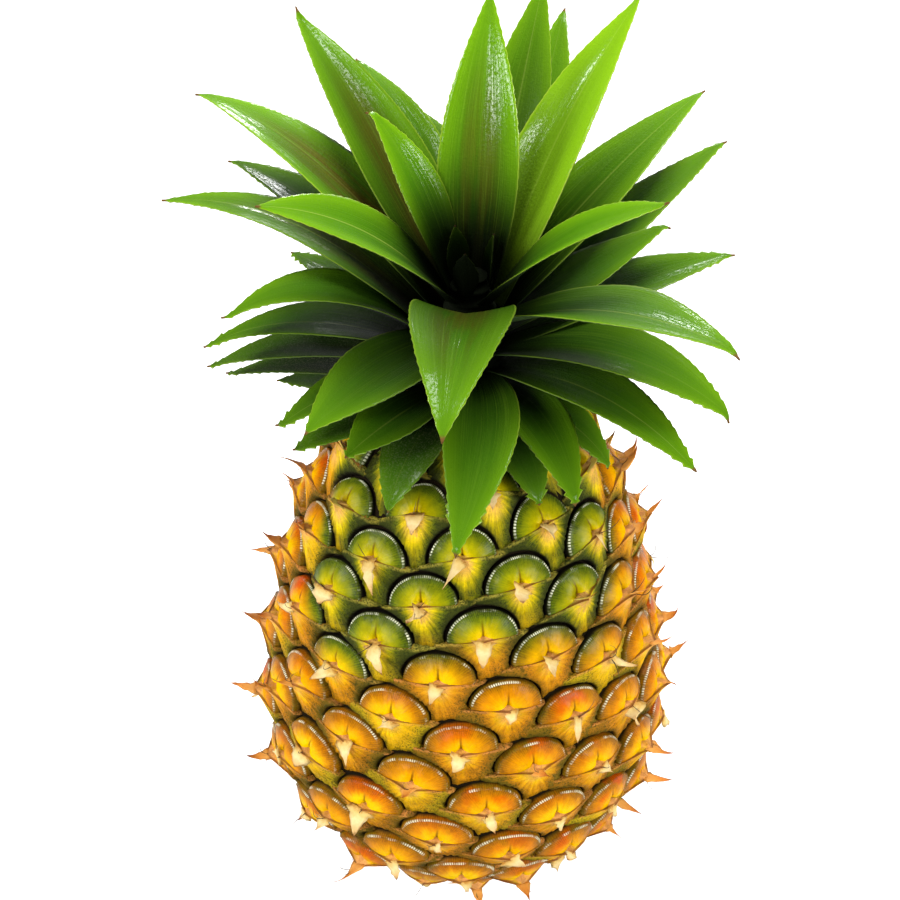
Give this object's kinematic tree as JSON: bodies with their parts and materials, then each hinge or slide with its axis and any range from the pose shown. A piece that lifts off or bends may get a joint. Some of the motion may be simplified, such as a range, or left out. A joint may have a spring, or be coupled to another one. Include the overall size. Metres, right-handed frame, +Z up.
{
  "type": "pineapple",
  "caption": "Fresh whole pineapple: a barrel-shaped fruit covered in raised eyes with pointed bracts, under a spreading crown of arched green leaves.",
  "frame": {"origin": "middle of the cut stalk's end, in the flat that the fruit stands on", "axes": "+Z up the fruit's own axis towards the crown; -Y is the side seen from the front; +X is to the right of it"},
  "size_m": [0.1524, 0.1538, 0.2625],
  "materials": {
    "rind": "waxy rind, orange and yellow eyes turning green towards the crown",
    "cut_stalk": "dry cut stalk",
    "crown_stem": "dark green stem, hidden under the leaf bases",
    "crown_leaf": "glossy green blades with lighter edges and a reddish middle"
  },
  "bodies": {
    "root": {"fruit": "rind", "cut_stalk": "cut_stalk", "crown_stem": "crown_stem", "leaf_01": "crown_leaf", "leaf_02": "crown_leaf", "leaf_03": "crown_leaf", "leaf_04": "crown_leaf", "leaf_05": "crown_leaf", "leaf_06": "crown_leaf", "leaf_07": "crown_leaf", "leaf_08": "crown_leaf", "leaf_09": "crown_leaf", "leaf_10": "crown_leaf", "leaf_11": "crown_leaf", "leaf_12": "crown_leaf", "leaf_13": "crown_leaf", "leaf_14": "crown_leaf", "leaf_15": "crown_leaf", "leaf_16": "crown_leaf", "leaf_17": "crown_leaf", "leaf_18": "crown_leaf", "leaf_19": "crown_leaf", "leaf_20": "crown_leaf", "leaf_21": "crown_leaf", "leaf_22": "crown_leaf", "leaf_23": "crown_leaf", "leaf_24": "crown_leaf", "leaf_25": "crown_leaf", "leaf_26": "crown_leaf", "leaf_27": "crown_leaf", "leaf_28": "crown_leaf", "leaf_29": "crown_leaf", "leaf_30": "crown_leaf", "leaf_31": "crown_leaf", "leaf_32": "crown_leaf", "leaf_33": "crown_leaf", "leaf_34": "crown_leaf", "leaf_35": "crown_leaf", "leaf_36": "crown_leaf", "leaf_37": "crown_leaf", "leaf_38": "crown_leaf", "leaf_39": "crown_leaf", "leaf_40": "crown_leaf", "leaf_41": "crown_leaf", "leaf_42": "crown_leaf", "leaf_43": "crown_leaf", "leaf_44": "crown_leaf", "leaf_45": "crown_leaf", "leaf_46": "crown_leaf", "leaf_47": "crown_leaf", "leaf_48": "crown_leaf"}
  },
  "joints": []
}
